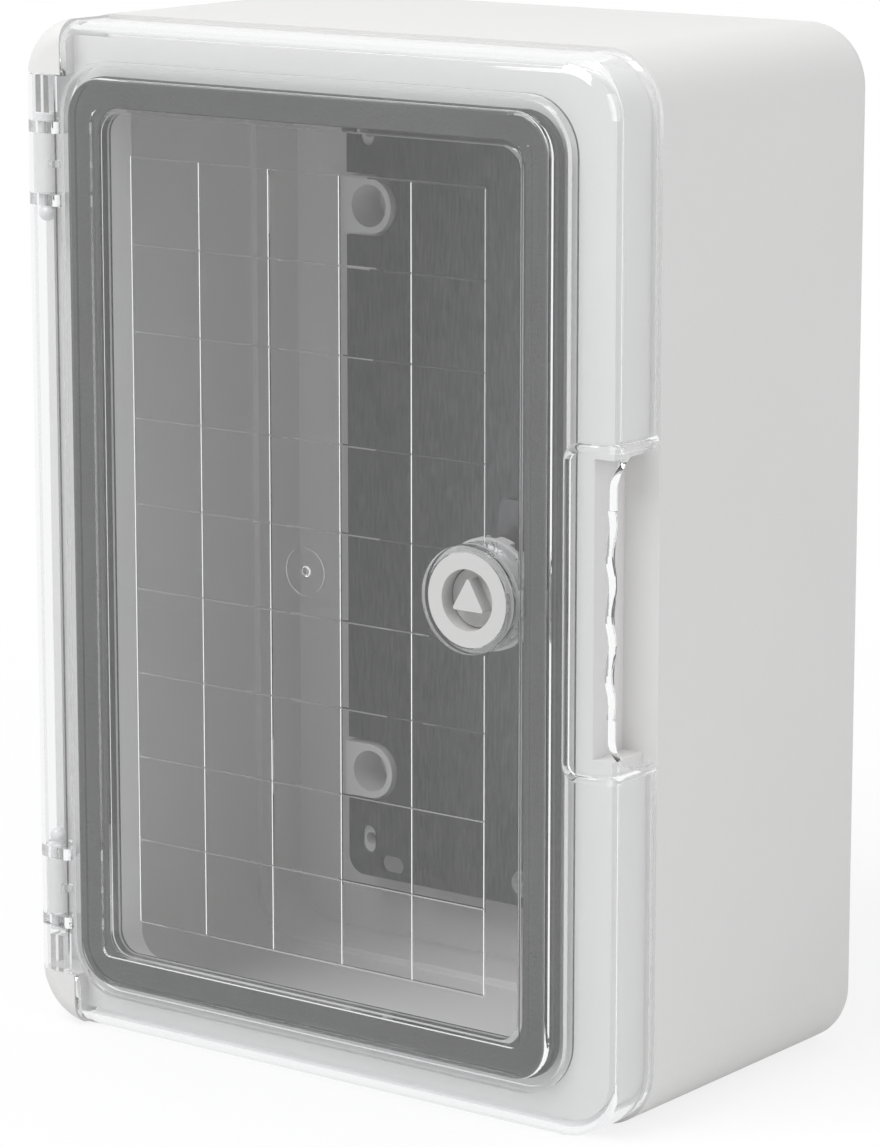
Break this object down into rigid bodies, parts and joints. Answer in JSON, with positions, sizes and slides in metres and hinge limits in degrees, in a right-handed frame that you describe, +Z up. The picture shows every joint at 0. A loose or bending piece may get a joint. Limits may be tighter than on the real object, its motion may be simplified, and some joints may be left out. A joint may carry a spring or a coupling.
{
  "type": "plastic control cabinet",
  "caption": "Wall-mounted light grey plastic control cabinet with a clear hinged door, a triangular key lock, a sealing gasket and a steel mounting plate inside.",
  "frame": {"origin": "below the middle of the outer box, on the level of the underside", "axes": "+Z up, +Y from the door to the back wall, +X from the hinge side to the lock side"},
  "size_m": [0.21, 0.13, 0.3],
  "materials": {
    "shell": "fine matt moulding",
    "clear": "clear moulded plastic",
    "gasket": "matt foam",
    "pin": "white plastic",
    "lock": "satin plastic",
    "plate": "zinc-coated sheet",
    "steel": "zinc-coated",
    "seal": "black rubber"
  },
  "bodies": {
    "base": {"base_shell": "shell", "mounting_plate": "plate", "plate_screws": "steel"},
    "door": {"door_panel": "clear", "door_gasket": "gasket", "upper_hinge_pin": "pin", "lower_hinge_pin": "pin", "lock_housing": "lock", "lock_seal": "seal", "lock_nut": "lock"},
    "key_core": {"lock_core": "lock", "core_o_ring": "seal", "core_clip": "steel", "lock_cam": "steel", "cam_washer": "steel", "cam_screw": "steel"}
  },
  "joints": [
    {"name": "door_hinge", "type": "hinge", "parent": "base", "child": "door", "pos_m": [-0.0987, -0.0559, 0.15], "axis": [0, 0, -1], "range_deg": [0, 110]},
    {"name": "lock_turn", "type": "hinge", "parent": "door", "child": "key_core", "pos_m": [0.059, -0.05, 0.15], "axis": [0, 1, 0], "range_deg": [0, 90]}
  ]
}
